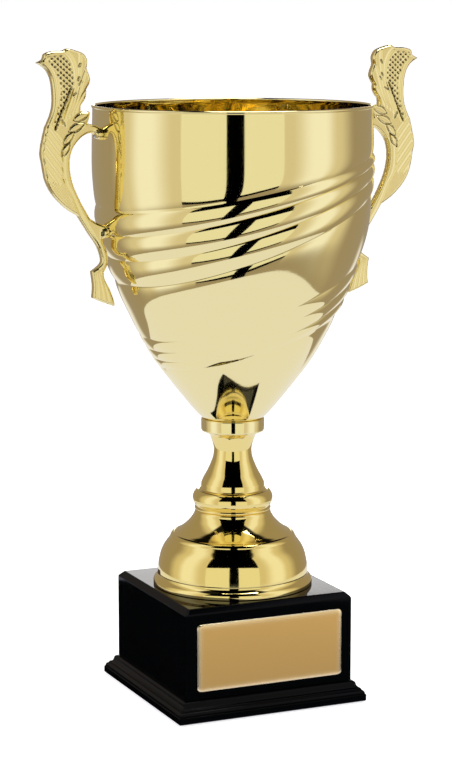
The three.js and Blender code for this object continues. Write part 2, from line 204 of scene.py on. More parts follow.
def plated_moulding():
    """Vacuum-metallised moulding under clear lacquer: a deeper gold mirror with a slight moulded waviness."""
    material, shader = new_material(
        "moulding_vacuum_metallised_gold", Base_Color=colours().riser_gold, Metallic=1.0, Roughness=0.06)
    wave = add_node(material, "ShaderNodeTexNoise", {"Scale": 0.11, "Detail": 1.0},
                    Vector=object_coordinates(material))
    bump = add_node(material, "ShaderNodeBump", {"Strength": 0.25, "Distance": 0.0001},
                    Height=wave)
    link(material, bump, shader.inputs["Normal"])
    speck = add_node(material, "ShaderNodeTexNoise", {"Scale": 0.6, "Detail": 2.0},
                     Vector=object_coordinates(material))
    link(material, spread(material, speck, 0.04, 0.09), shader.inputs["Roughness"])
    return material


def cast_gold():
    """Die-cast zinc, gold plated: pale and softly bright, with painted shade, a dark gold mixed into the
    crevices of its relief.
    """
    material, shader = new_material(
        "zinc_casting_gold_plated", Base_Color=colours().handle_gold, Metallic=1.0, Roughness=0.14)
    # painted shade: the recess mask darkens the colour of the crevices and makes them rougher
    recess_shade = add_node(material, "ShaderNodeAttribute", {"attribute_name": "recess_shade"})
    tone_with_painted_light = add_node(material, "ShaderNodeMix",
                    {"data_type": "RGBA", "A": (*colours().handle_gold, 1), "B": (*colours().recess_shade_gold, 1)},
                    Factor=recess_shade.outputs["Fac"])
    link(material, tone_with_painted_light, shader.inputs["Base Color"])
    link(material, spread(material, recess_shade.outputs["Fac"], 0.17, 0.35), shader.inputs["Roughness"])
    grain = add_node(material, "ShaderNodeTexNoise", {"Scale": 0.8, "Detail": 3.0},
                     Vector=object_coordinates(material))
    bump = add_node(material, "ShaderNodeBump", {"Strength": 0.3, "Distance": 0.00005},
                    Height=grain)
    link(material, bump, shader.inputs["Normal"])
    return material


def piano_lacquer():
    """Black polyester lacquer, buffed: deep black with sharp highlights and a trace of orange peel."""
    material, shader = new_material(
        "fibreboard_black_piano_lacquer", Base_Color=colours().lacquer, Roughness=0.04, IOR=1.52,
        Specular_IOR_Level=0.08)
    peel = add_node(material, "ShaderNodeTexNoise", {"Scale": 0.35, "Detail": 2.0},
                    Vector=object_coordinates(material))
    bump = add_node(material, "ShaderNodeBump", {"Strength": 0.15, "Distance": 0.00004},
                    Height=peel)
    link(material, bump, shader.inputs["Normal"])
    dust = add_node(material, "ShaderNodeTexNoise", {"Scale": 0.05, "Detail": 4.0},
                    Vector=object_coordinates(material))
    link(material, spread(material, dust, 0.02, 0.09), shader.inputs["Roughness"])
    return material


def brushed_plate():
    """Gold anodised aluminium, brushed lengthwise: a satin sheen, and a painted highlight, a paler and
    glossier rim.
    """
    material, shader = new_material(
        "anodised_aluminium_brushed_gold", Base_Color=colours().plate_gold, Metallic=1.0, Roughness=0.33,
        Anisotropic=0.85, Anisotropic_Rotation=0.25)
    streak = add_node(material, "ShaderNodeTexNoise", {"Scale": 1.0, "Detail": 4.0},
                      Vector=object_coordinates(material, (0.03, 1.0, 4.0)))
    # painted highlight: the rim mask mixes a pale gold into the rolled edge and makes it glossier
    rim = add_node(material, "ShaderNodeAttribute", {"attribute_name": "rim"}).outputs["Fac"]
    tone_with_painted_light = add_node(material, "ShaderNodeMix",
                    {"data_type": "RGBA", "A": (*colours().plate_gold, 1), "B": (*colours().plate_rim_highlight, 1)},
                    Factor=rim)
    link(material, tone_with_painted_light, shader.inputs["Base Color"])
    satin = spread(material, streak, 0.3, 0.37)
    gloss = add_node(material, "ShaderNodeMix", {"data_type": "FLOAT", "B": 0.14}, Factor=rim, A=satin)
    link(material, gloss, shader.inputs["Roughness"])
    bump = add_node(material, "ShaderNodeBump", {"Strength": 0.2, "Distance": 0.00003},
                    Height=streak)
    link(material, bump, shader.inputs["Normal"])
    return material


def zinc_plate():
    """Bright zinc plate on steel: pale blue-grey, slightly cloudy."""
    material, shader = new_material(
        "steel_bright_zinc_plated", Base_Color=colours().zinc, Metallic=1.0, Roughness=0.28)
    cloud = add_node(material, "ShaderNodeTexNoise", {"Scale": 0.5, "Detail": 3.0},
                     Vector=object_coordinates(material))
    link(material, spread(material, cloud, 0.2, 0.42), shader.inputs["Roughness"])
    return material


def wool_felt():
    """Pressed wool felt: a matt, fuzzy black nap."""
    material, shader = new_material(
        "wool_felt_pressed_black", Base_Color=colours().felt, Roughness=1.0, Sheen_Weight=0.3)
    nap = add_node(material, "ShaderNodeTexNoise", {"Scale": 1.6, "Detail": 5.0},
                   Vector=object_coordinates(material))
    bump = add_node(material, "ShaderNodeBump", {"Strength": 0.6, "Distance": 0.0002},
                    Height=nap)
    link(material, bump, shader.inputs["Normal"])
    return material


def foam_tape():
    """Closed-cell foam tape: off-white and matt, with fine cells along its cut edge."""
    material, shader = new_material("polyethylene_foam_tape", Base_Color=linear("#D8D5CC"), Roughness=0.85)
    cells = add_node(material, "ShaderNodeTexVoronoi", {"Scale": 2.0}, Vector=object_coordinates(material))
    bump = add_node(material, "ShaderNodeBump", {"Strength": 0.3, "Distance": 0.0001},
                    Height=cells)
    link(material, bump, shader.inputs["Normal"])
    return material


# ------------------------------------------------------------------ outlines and turned shapes

def arc(centre, radius, start, stop, steps):
    """Points along part of a circle, angles in degrees."""
    turns = np.radians(np.linspace(start, stop, steps + 1))
    return [(centre[0] + radius * math.cos(turn), centre[1] + radius * math.sin(turn)) for turn in turns]


def flowing(points, count):
    """A smooth curve through the points, as count + 1 points."""
    points = np.array(points, float)
    last = len(points) - 1
    curve = []
    for place in np.linspace(0, last, count + 1):
        index = min(int(place), last - 1)
        part = place - index
        before, first, second, after = points[np.clip([index - 1, index, index + 1, index + 2], 0, last)]
        enter = (second - before) / 2
        leave = (after - first) / 2
        curve.append(first + enter * part
                     + (3 * (second - first) - 2 * enter - leave) * part ** 2
                     + (2 * (first - second) + enter + leave) * part ** 3)
    return [tuple(point) for point in curve]


def turned(profile, steps, closed=True):
    """A solid turned about Z from (radius, height) pairs. An open profile starts and ends on the axis."""
    mesh = bmesh.new()
    points = [mesh.verts.new((radius, 0, height)) for radius, height in profile]
    edges = [mesh.edges.new(pair) for pair in zip(points, points[1:])]
    if closed:
        edges.append(mesh.edges.new((points[-1], points[0])))
    bmesh.ops.spin(mesh, geom=points + edges, cent=(0, 0, 0), axis=(0, 0, 1),
                   angle=2 * math.pi, steps=steps, use_merge=True)
    bmesh.ops.remove_doubles(mesh, verts=mesh.verts, dist=1e-4)
    bmesh.ops.recalc_face_normals(mesh, faces=mesh.faces)
    return mesh


def soft_box(low, high, edge, segments=3):
    """A box with its edges rounded."""
    mesh = bmesh.new()
    bmesh.ops.create_cube(mesh, size=1)
    bmesh.ops.scale(mesh, verts=mesh.verts, vec=high - low)
    bmesh.ops.translate(mesh, verts=mesh.verts, vec=(low + high) / 2)
    bevel(mesh, mesh.edges, edge, segments)
    return mesh


def bevel(mesh, edges, offset, segments):
    bmesh.ops.bevel(mesh, geom=list(edges), offset=offset, segments=segments, profile=0.5,
                    affect="EDGES", material=-1, clamp_overlap=True)


def finished(name, mesh, material, nodes, crease=35, place=None, flat_faced=False):
    """Turns a shape into a piece: smooth shaded, in metres, riding on the body, standing for its nodes."""
    bmesh.ops.scale(mesh, verts=mesh.verts, vec=(MM, MM, MM))
    if place is not None:
        bmesh.ops.transform(mesh, verts=mesh.verts, matrix=place)
    data = bpy.data.meshes.new(name)
    mesh.to_mesh(data)
    mesh.free()
    data.polygons.foreach_set("use_smooth", [True] * len(data.polygons))
    data.set_sharp_from_angle(angle=math.radians(crease))
    data.materials.append(material)
    piece = bpy.data.objects.new(name, data)
    bpy.context.scene.collection.objects.link(piece)
    if flat_faced:
        weighting = piece.modifiers.new("flat_faces", "WEIGHTED_NORMAL")
        weighting.keep_sharp = True
    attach(piece, BODY)
    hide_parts(*nodes)
    return piece


# ------------------------------------------------------------------ the bowl's wall

ROD_HOLE = 3.3  # radius of the hole that the rod passes through
SEAT_RADIUS = 17.6
RIM_RADIUS = 80.0
RIM_BEAD = 0.9

# The plain wall as (radius, height), from the seat to the rim.
WALL_POINTS = [
    (SEAT_RADIUS, BOWL_LOW.z), (23.2, 169.1), (34.7, 183.4), (45.4, 197.7), (53.7, 212.0), (60.4, 225.6),
    (66.2, 238.2), (73.0, 257.0), (78.0, 275.0), (80.1, 298.0), (80.7, 314.0), (RIM_RADIUS, BOWL_HIGH.z),
]
WALL = np.array(flowing(WALL_POINTS, 240))

# Each fold is a ring tipped about Y: (height on the axis, slope towards +X).
UPPER_FOLDS = [(269.0, 0.36), (281.6, 0.31), (293.0, 0.26), (302.4, 0.2)]
LOWER_FOLDS = [(209.4, 0.32), (215.6, 0.33), (223.2, 0.345), (231.8, 0.36)]
TIPPING = [
    (BOWL_LOW.z, 0), (174, 0.01), (184, 0.06), (196, 0.16), (205.4, 0.28), *LOWER_FOLDS, (236.4, 0.36),
    (264.5, 0.36), *UPPER_FOLDS, (307.5, 0.18), (322, 0.1), (BOWL_HIGH.z - 2.4, 0), (BOWL_HIGH.z, 0),
]
CREASE_WIDTH = 1.8
RUN_OUT = 3.2  # length over which a set of folds fades into the plain wall
FRONT_CREASE = 0.45  # depth that the lowest fold keeps in front


SETTLING_ROUNDS = 14  # a tipped row's height depends on the wall's radius there, so it is settled by rounds


def wall_radius(height):
    return np.interp(height, WALL[:, 1], WALL[:, 0])


def tipping(height):
    heights, slopes = zip(*TIPPING)
    return np.interp(height, heights, slopes)


def lower_strength(cosine):
    """The lower folds are faint in front, deep towards the right handle and shallow at the left one."""
    return 0.13 + np.where(cosine > 0, 0.9, 0.12) * cosine ** 2


def fold_stand(height, cosine):
    """How far the folded wall stands off the plain wall, by the row's height on the axis and its bearing."""
    depth = sizes().fold_depth
    total = np.zeros_like(height)
    sets = ((LOWER_FOLDS, sizes().lower_bulge, lower_strength(cosine)),
            (UPPER_FOLDS, sizes().upper_bulge, 1))
    for folds, bulge, strength in sets:
        stand = np.zeros_like(height)
        levels = [level for level, _ in folds]
        for low, high in zip(levels, levels[1:]):
            part = np.clip((height - low) / (high - low), 0, 1)
            swell = (depth + bulge) * np.sin(math.pi * part) ** 0.75 - depth
            stand = np.where((height >= low) & (height <= high), swell, stand)
        under = stand - depth * np.exp((height - levels[0]) / RUN_OUT)
        over = stand - depth * np.exp((levels[-1] - height) / RUN_OUT)
        stand = np.where(height < levels[0], under, stand)
        stand = np.where(height > levels[-1], over, stand)
        total += strength * stand
    lowest = np.exp(-((height - LOWER_FOLDS[0][0]) / CREASE_WIDTH) ** 2)
    return total - FRONT_CREASE * lowest * (1 - cosine ** 2)


def row_heights(fold_rows, plain_gap):
    """Heights of the mesh rows, close together at the folds."""
    levels = [level for level, _ in LOWER_FOLDS + UPPER_FOLDS]
    stops = [BOWL_LOW.z, *levels, BOWL_HIGH.z - 2 * RIM_BEAD]
    rows = []
    for low, high in zip(stops, stops[1:]):
        count = fold_rows if high - low < 14 else max(6, round((high - low) / plain_gap))
        turns = np.linspace(0, math.pi, count + 1)[:-1]
        even = np.linspace(0, 1, count + 1)[:-1]
        close = 0.6 * (1 - np.cos(turns)) / 2 + 0.4 * even
        rows.extend(low + (high - low) * close)
    return rows + [stops[-1]]


def tip_rows(mesh):
    """Slides every row up or down the wall as far as it is tipped, and presses the folds in."""
    mesh.verts.ensure_lookup_table()
    places = np.array([point.co for point in mesh.verts])
    radius = np.hypot(places[:, 0], places[:, 1])
    height = places[:, 2]
    cosine = places[:, 0] / radius
    tipped = height.copy()
    for _ in range(SETTLING_ROUNDS):
        tipped = height + tipping(height) * wall_radius(tipped) * cosine
    grown = wall_radius(tipped) + fold_stand(height, cosine) + radius - wall_radius(height)
    for point, factor, level in zip(mesh.verts, grown / radius, tipped):
        point.co = (point.co.x * factor, point.co.y * factor, level)


def bowl_surface(x, z):
    """Radius of the folded outer wall where the handles meet it, at a place x from the axis and height z."""
    row = np.array(z, float)
    for _ in range(SETTLING_ROUNDS):
        row = z - tipping(row) * x
    return wall_radius(z) + fold_stand(row, np.sign(x))


def bowl_shape():
    wall = sizes().wall
    outer = [(float(wall_radius(height)), height) for height in row_heights(12, 2.2)]
    inner = [(radius - wall, height) for radius, height in outer if height > BOWL_LOW.z + 2 * wall][::2]
    bead = arc((RIM_RADIUS - 0.2, BOWL_HIGH.z - RIM_BEAD), RIM_BEAD, -50, 190, 10)
    floor = [(SEAT_RADIUS - 1.2, BOWL_LOW.z + wall), (ROD_HOLE, BOWL_LOW.z + wall), (ROD_HOLE, BOWL_LOW.z)]
    mesh = turned(outer + bead + inner[::-1] + floor, sizes().turned_steps)
    tip_rows(mesh)
    return mesh


# ------------------------------------------------------------------ riser: foot, neck and collar

FOOT_STEPS = 160  # steps round the foot
RISER_STEPS = 140  # steps round the neck and the collar


def foot_shape():
    seam = NECK_LOW.z
    floor = FOOT_LOW.z
    lip = FOOT_HIGH.x
    outer = [(lip - 0.4, floor), (lip, floor + 0.4), (lip, floor + 1.6)]
    outer += arc((lip - 3.2, floor + 1.6), 3.2, 0, 52, 12)[1:]
    outer += flowing([(lip - 1.6, floor + 4.5), (lip - 2.3, floor + 5.4), (lip - 2.6, floor + 6.6)], 8)[1:]
    outer += flowing([(lip - 2.5, floor + 7.0), (43.9, 76.3), (43.2, 80.0), (42.2, 83.7), (40.5, 87.3),
                      (37.9, 91.0), (36.7, 92.7)], 56)
    outer += arc((33.9, 92.4), 2.9, 16, 84, 14)
    outer += flowing([(33.9, 95.5), (31.6, 96.9), (28.2, 99.5), (25.0, 102.8), (22.8, 106.2),
                      (22.1, seam - 1.0)], 44)
    outer += [(21.7, seam - 0.3), (21.3, seam)]
    ring = [(19.2, seam), (19.2, seam + 1.8), (16.6, seam + 1.8), (16.6, seam)]
    inner = [(ROD_HOLE, seam), (ROD_HOLE, seam - 2.2), (20.4, 107.0), (22.9, 102.2), (32.0, 94.0),
             (39.2, 83.4), (41.8, 74.6), (42.2, 70.0), (42.6, floor)]
    return turned(outer + ring + inner, FOOT_STEPS)


def neck_shape():
    seam = NECK_LOW.z
    top = NECK_HIGH.z
    outer = [(21.3, seam)]
    outer += arc((21.4, seam + 0.9), 0.9, -80, 70, 8)
    outer += arc((17.25, 115.9), 6.2, -40, 53, 22)
    outer += flowing([(20.4, 121.0), (19.2, 121.3), (18.6, 122.0), (18.5, 123.4)], 12)
    outer += flowing([(18.4, 125.0), (16.9, 128.3), (14.7, 132.3), (12.9, 136.3), (11.5, 140.3),
                      (11.1, 144.3), (11.8, 148.3), (13.2, 152.3), (14.3, 154.0), (16.2, top - 0.3)], 80)
    outer += [(16.2, top)]
    inner = [(ROD_HOLE, top), (ROD_HOLE, top - 3), (10.2, 150.6), (9.2, 144.0), (10.4, 137.0), (15.4, 127.0),
             (16.9, 122.2), (17.6, 120.2), (19.5, 116.0), (19.5, seam)]
    return turned(outer + inner, RISER_STEPS)


def collar_shape():
    low = COLLAR_LOW.z
    high = COLLAR_HIGH.z
    radius = COLLAR_HIGH.x - 0.5
    outer = arc((radius - 1.6, low + 1.6), 1.6, -80, 0, 8)
    outer += arc((radius - 0.9, high - 0.9), 0.9, 0, 80, 8)
    return turned([(ROD_HOLE, low), *outer, (ROD_HOLE, high)], RISER_STEPS)


# ------------------------------------------------------------------ base

def square_moulding(profile):
    """A four-sided moulding from (half width, height) pairs, mitred at its corners."""
    diagonal = [(half * math.sqrt(2), height) for half, height in profile]
    mesh = turned([(0, profile[0][1]), *diagonal, (0, profile[-1][1])], 4, closed=False)
    bmesh.ops.rotate(mesh, verts=mesh.verts, cent=(0, 0, 0), matrix=Matrix.Rotation(math.pi / 4, 3, "Z"))
    bmesh.ops.dissolve_limit(mesh, angle_limit=math.radians(1), verts=mesh.verts, edges=mesh.edges)
    return mesh


def mitre_edges(mesh):
    """The edges that run up the four corners."""
    return [edge for edge in mesh.edges
            if all(abs(abs(point.co.x) - abs(point.co.y)) < 0.01 for point in edge.verts)
            and all(abs(point.co.x) > 5 for point in edge.verts)
            and abs(edge.verts[0].co.x + edge.verts[1].co.x) > 1
            and abs(edge.verts[0].co.y + edge.verts[1].co.y) > 1]


def plinth_shape():
    """Fascia, a thin groove, an ovolo up to a crisp nose, then a cove and a bead against the block."""
    half = PLINTH_HIGH.x
    low = PLINTH_LOW.z
    fascia = low + 3.7
    profile = [(half - 0.4, low), (half, low + 0.4)]
    profile += arc((half - 0.3, fascia), 0.3, 0, 90, 3)
    profile += [(half - 0.6, fascia + 0.35), (half - 0.6, fascia + 0.8)]
    profile += arc((half - 2.6, fascia + 0.8), 2.0, 5, 78, 8)
    profile += [(half - 2.25, fascia + 2.9)]
    profile += arc((half - 2.8, fascia + 3.2), 0.55, -10, 100, 8)
    profile += flowing([(half - 3.1, fascia + 3.85), (half - 3.9, fascia + 4.2),
                        (half - 4.4, fascia + 5.4)], 6)
    profile += arc((half - 6.4, PLINTH_HIGH.z - 1.8), 1.8, 0, 84, 8)
    profile += [(half - 6.6, PLINTH_HIGH.z)]
    mesh = square_moulding(profile)
    bevel(mesh, mitre_edges(mesh), 0.25, 2)
    return mesh


def block_shape():
    chamfer = 2.9
    half = BLOCK_HIGH.x
    mesh = square_moulding([(half, BLOCK_LOW.z), (half, BLOCK_HIGH.z - chamfer),
                            (half - chamfer, BLOCK_HIGH.z)])
    bevel(mesh, mesh.edges, 0.55, 4)
    return mesh


def felt_shape():
    return soft_box(FELT_LOW, FELT_HIGH, 0.3, 2)


# ------------------------------------------------------------------ nameplate

def plate_shape():
    """A thin plate with round corners, pillowed: its front rolls back softly towards all four sides."""
    corner = 2.6
    roll = 4.2
    drop = 1.05
    mesh = soft_box(PLATE_LOW, PLATE_HIGH, 0)
    rim_highlight_layer = mesh.verts.layers.float.new("rim")
    upright = [edge for edge in mesh.edges
               if abs(edge.verts[0].co.x - edge.verts[1].co.x) < 0.01
               and abs(edge.verts[0].co.z - edge.verts[1].co.z) < 0.01]
    bevel(mesh, upright, corner, 8)
    middle = (PLATE_LOW + PLATE_HIGH) / 2
    reach = (PLATE_HIGH - PLATE_LOW) / 2
    for inset in (0.1, 0.4, 0.9, 1.6, 2.6, roll):
        for axis in (0, 2):
            for side in (-1, 1):
                across = Vector((0, 0, 0))
                across[axis] = side
                whole = mesh.verts[:] + mesh.edges[:] + mesh.faces[:]
                bmesh.ops.bisect_plane(mesh, geom=whole, plane_no=across,
                                       plane_co=middle + across * (reach[axis] - inset))
    for point in mesh.verts:
        if point.co.y < middle.y:
            past_x = abs(point.co.x - middle.x) - (reach.x - corner)
            past_z = abs(point.co.z - middle.z) - (reach.z - corner)
            inside = corner - math.hypot(max(past_x, 0), max(past_z, 0)) - min(max(past_x, past_z), 0)
            slope = 1 - max(0, min(inside / roll, 1))
            point.co.y += drop * (1 - math.sqrt(1 - slope ** 2))
            # The rim mask, which paints a paler highlight along the rolled edge.
            point[rim_highlight_layer] = slope ** 2
    return mesh


def tape_shape():
    return soft_box(TAPE_LOW, TAPE_HIGH, 0.1, 1)


# ------------------------------------------------------------------ handles

# The right handle's outline as (x, z), one smooth stretch after another with corners between.
HANDLE_STRETCHES = [
    [(118.4, 369.4), (114.8, 371.2), (113.6, 374.2), (109.0, 375.6), (103.0, 375.8), (100.4, 377.0),
     (96.5, 376.2)],
    [(96.5, 376.2), (91.4, 374.3), (88.9, 370.6), (89.4, 366.2)],
    [(89.4, 366.2), (87.5, 361.0), (87.9, 357.8), (89.8, 354.4)],
    [(89.8, 354.4), (89.8, 351.4), (91.0, 348.6), (93.0, 345.8), (93.2, 342.4)],
    [(93.2, 342.4), (90.4, 342.6), (87.9, 341.9), (88.4, 338.2), (89.4, 335.8)],
    [(89.4, 335.8), (84.8, 334.6), (81.8, 333.4), (79.4, 332.6)],
    [(79.4, 332.6), (79.4, 326.2)],
    [(79.4, 326.2), (83.0, 327.0), (85.8, 330.2), (89.6, 330.0), (93.9, 327.3), (98.3, 321.6), (100.0, 313.5),
     (98.5, 303.6), (94.3, 293.5), (88.3, 282.9)],
    [(88.3, 282.9), (83.0, 279.8), (75.4, 278.0)],
    [(75.4, 278.0), (75.4, 271.4)],
    [(75.4, 271.4), (80.6, 271.0), (78.2, 263.4), (77.7, 257.4), (80.3, 252.1)],
    [(80.3, 252.1), (79.6, 248.0), (76.4, 241.8), (73.8, 234.1), (74.7, 232.9)],
    [(74.7, 232.9), (81.3, 235.3), (86.8, 237.9)],
    [(86.8, 237.9), (86.3, 244.8), (87.3, 252.8)],
    [(87.3, 252.8), (83.9, 255.1), (81.6, 257.4), (81.4, 260.2), (83.8, 266.9), (89.2, 275.0), (95.2, 284.5)],
    [(95.2, 284.5), (100.6, 287.8), (105.4, 291.8), (110.6, 297.8), (114.0, 305.0), (115.4, 312.7),
     (116.5, 321.0), (113.6, 334.0)],
    [(113.6, 334.0), (110.2, 341.5), (109.0, 349.0), (110.0, 360.0), (113.4, 366.2), (118.4, 369.4)],
]
OUTER_CONCAVE = HANDLE_STRETCHES[-1]

LATTICE_FIELD = [
    (113.3, 372.6), (103.3, 373.2), (99.3, 368.3), (97.9, 363.1), (97.7, 357.3), (98.4, 355.0),
    (107.8, 333.0), (109.3, 335.2), (106.7, 342.8), (105.1, 348.9), (104.4, 354.6),
    (105.2, 359.4), (107.9, 364.3),
]
RIB_FIELD = [
    (114.8, 339.5), (104.6, 327.5), (103.9, 321.0), (104.5, 313.0), (103.0, 303.5), (110.0, 302.0),
    (117.5, 309.0), (119.0, 324.0),
]
STIPPLE_FIELD = [
    (112.4, 304.5), (103.4, 301.5), (98.6, 292.0), (97.0, 287.6), (104.6, 293.2), (110.4, 299.6),
]
RIDGE = [(98.0, 355.4), (107.8, 332.5)]

# Grooves between the feathers, along the inner rail and down the tail's flutes: (points, depth, width).
GROOVES = [
    ([(102.8, 375.9), (99.3, 372.6), (97.0, 367.8), (96.2, 362.0), (97.0, 355.0), (98.8, 349.0),
      (101.0, 343.0), (103.8, 335.6)], 0.75, 0.5),
    ([(93.4, 374.4), (93.6, 368.0), (94.3, 361.6), (95.2, 355.6), (97.4, 347.6), (100.8, 339.6)], 0.7, 0.45),
    ([(89.4, 366.2), (91.6, 361.6), (93.4, 355.4), (95.8, 347.6), (98.8, 341.0)], 0.8, 0.45),
    ([(89.8, 354.4), (92.4, 351.0), (94.6, 346.6), (96.8, 342.2)], 0.7, 0.4),
    ([(100.5, 328.4), (103.0, 322.8), (103.8, 315.0), (103.6, 307.5), (102.0, 301.6), (98.5, 295.6),
      (95.5, 288.5), (91.8, 281.4), (87.0, 273.6), (82.6, 266.0)], 0.7, 0.5),
    ([(82.6, 252.6), (79.6, 243.0), (77.6, 234.4)], 0.55, 0.4),
    ([(83.7, 252.4), (82.0, 243.4), (80.8, 235.6)], 0.55, 0.4),
    ([(84.9, 252.2), (84.2, 244.0), (84.0, 236.9)], 0.55, 0.4),
    ([(80.4, 253.4), (84.0, 254.6)], 0.5, 0.45),
]

# Laurel leaves: (root, tip, half width).
LEAVES = [
    ((97.4, 337.6), (88.4, 341.7), 2.0), ((100.4, 331.6), (91.2, 336.1), 2.0),
    ((103.4, 324.6), (97.6, 331.4), 1.8), ((104.4, 318.6), (100.2, 325.2), 1.6),
]
TICKS = [((93.4, 368.6), (94.4, 366.8)), ((94.0, 361.2), (95.0, 359.4)), ((93.0, 358.8), (94.2, 357.2)),
         ((96.2, 352.6), (97.8, 351.4)), ((104.6, 338.0), (102.6, 334.6))]

EDGE_HALF = 1.7  # half the thickness of the casting's flat edge
CROWN = 1.1  # how far its faces rise above that edge
CROWN_REACH = 1.6  # distance from the edge where the face is full height

# Heights of the screws that hold each handle, and where each boss ends.
UPPER_SCREW = 329.4
LOWER_SCREW = 274.6
BOSS_ENDS = ((UPPER_SCREW, 85.5), (LOWER_SCREW, 82.5))
BOSS_RADIUS = 3.9
SIDES = ((-1, "left"), (1, "right"))


def to_line(points, x, z):
    """Distance from each place to a line of points."""
    best = np.full(x.shape, 1e9)
    for (x0, z0), (x1, z1) in zip(points, points[1:]):
        run, rise = x1 - x0, z1 - z0
        part = np.clip(((x - x0) * run + (z - z0) * rise) / (run * run + rise * rise), 0, 1)
        best = np.minimum(best, np.hypot(x - x0 - part * run, z - z0 - part * rise))
    return best


def inside_field(points, x, z, blur=0.35):
    """1 inside a field, 0 outside, with a soft border."""
    closed = points + [points[0]]
    crossings = np.zeros(x.shape, int)
    for (x0, z0), (x1, z1) in zip(closed, closed[1:]):
        if z0 == z1:
            continue
        meets = x0 + (z - z0) * (x1 - x0) / (z1 - z0)
        crossings += ((z0 > z) != (z1 > z)) & (x < meets)
    distance = to_line(closed, x, z) * np.where(crossings % 2 == 1, 1, -1)
    return np.clip(distance / (2 * blur) + 0.5, 0, 1)


def dip(distance, width):
    return np.exp(-(distance / width) ** 2)


def leaf_relief(root, tip, half_width, x, z):
    """Height and outline groove of one leaf with a midrib; the groove is also painted shade in the casting's
    colour.
    """
    length = math.dist(root, tip)
    along_x, along_z = (tip[0] - root[0]) / length, (tip[1] - root[1]) / length
    along = (x - root[0]) * along_x + (z - root[1]) * along_z
    across = np.abs((z - root[1]) * along_x - (x - root[0]) * along_z)
    part = np.clip(along / length, 0, 1)
    width = half_width * np.sin(math.pi * part ** 0.85) ** 0.8 + 1e-3
    near = (along > -0.6) & (along < length + 0.6)
    inner = np.where(near & (across < width), np.sqrt(np.clip(1 - (across / width) ** 2, 0, 1)), 0)
    border = np.where(near, dip(across - width, 0.35), 0)
    rib = np.where(near & (part < 0.85), dip(across, 0.28), 0)
    return 0.45 * inner - 0.2 * rib, 0.6 * border * (across >= width * 0.8)


def casting_relief(x, z, outline):
    """Half thickness of the casting, and a mask that paints shade into its crevices."""
    edge = to_line(outline + [outline[0]], x, z)
    reach = np.clip(edge / CROWN_REACH, 0, 1)
    half = EDGE_HALF + CROWN * np.sqrt(1 - (1 - reach) ** 2)
    away = np.clip(edge / 0.9, 0, 1)  # relief dies out at the very edge
    wave = np.zeros_like(x)
    # These marks cut grooves into the relief and also paint shade into the casting's colour.
    crevice_and_shade = np.zeros_like(x)

    outer_edge = to_line(flowing(OUTER_CONCAVE, 24), x, z)
    above = np.clip((z - 335) / 3, 0, 1)
    wave += above * (0.22 * dip(outer_edge - 3.0, 0.6) + 0.22 * dip(outer_edge - 4.9, 0.6))
    crevice_and_shade += 0.9 * dip(to_line([(115.4, 368.4), (112.2, 365.0), (110.6, 361.6)], x, z), 0.42)

    lattice = inside_field(LATTICE_FIELD, x, z)
    weave = np.cos(2 * math.pi * (x - 98.0) / 3.4) * np.cos(2 * math.pi * (z - 355.0) / 3.0)
    half -= 0.2 * lattice
    crevice_and_shade += lattice * np.clip((weave - 0.3) / 0.5, 0, 1)

    ridge = to_line(RIDGE, x, z)
    half += 0.3 * dip(ridge, 0.6)
    crevice_and_shade += 0.9 * dip(to_line([(px + 0.85, pz + 0.3) for px, pz in RIDGE], x, z), 0.36)

    ribs = inside_field(RIB_FIELD, x, z, 0.6)
    phase = ((x - 113.6) * 0.797 - (z - 337.2) * 0.604) / 3.72
    half -= 0.17 * ribs * np.cos(2 * math.pi * phase)

    stipple = inside_field(STIPPLE_FIELD, x, z)
    grain = np.cos(2 * math.pi * x / 1.7) * np.cos(2 * math.pi * z / 1.7)
    wave += stipple * 0.25 * np.clip((grain - 0.2) / 0.5, 0, 1)

    for points, depth, width in GROOVES:
        line = to_line(flowing(points, 4 * len(points)), x, z)
        wave += 0.4 * depth * dip(line, 1.3 * width)
    for root, tip in TICKS:
        crevice_and_shade += 0.6 * dip(to_line([root, tip], x, z), 0.34)
    for root, tip, half_width in LEAVES:
        rise, border = leaf_relief(root, tip, half_width, x, z)
        half += rise
        crevice_and_shade += border

    half -= away * np.minimum(wave + 0.8 * crevice_and_shade, 1.4)
    # The second value is painted shade: it darkens the crevices in the casting's colour.
    return half, np.clip(1.2 * crevice_and_shade * away, 0, 1)


def round_bosses(x, z, half):
    """Swells the two ends that are screwed to the bowl into round bosses."""
    for height, reach in BOSS_ENDS:
        lean = float(wall_radius(height + 1) - wall_radius(height - 1)) / 2
        off_axis = (z - height) + lean * (x - float(wall_radius(height)))
        round_half = np.sqrt(np.clip(BOSS_RADIUS ** 2 - off_axis ** 2, 0, None))
        weight = np.clip((reach - x) / 2.5, 0, 1) * (np.abs(off_axis) < BOSS_RADIUS)
        half = np.where(weight > 0, half + weight * (np.maximum(round_half, half) - half), half)
    return half


def handle_outline():
    points = []
    for stretch in HANDLE_STRETCHES:
        points += flowing(stretch, 1 if len(stretch) == 2 else 3 * len(stretch))[:-1]
    return points


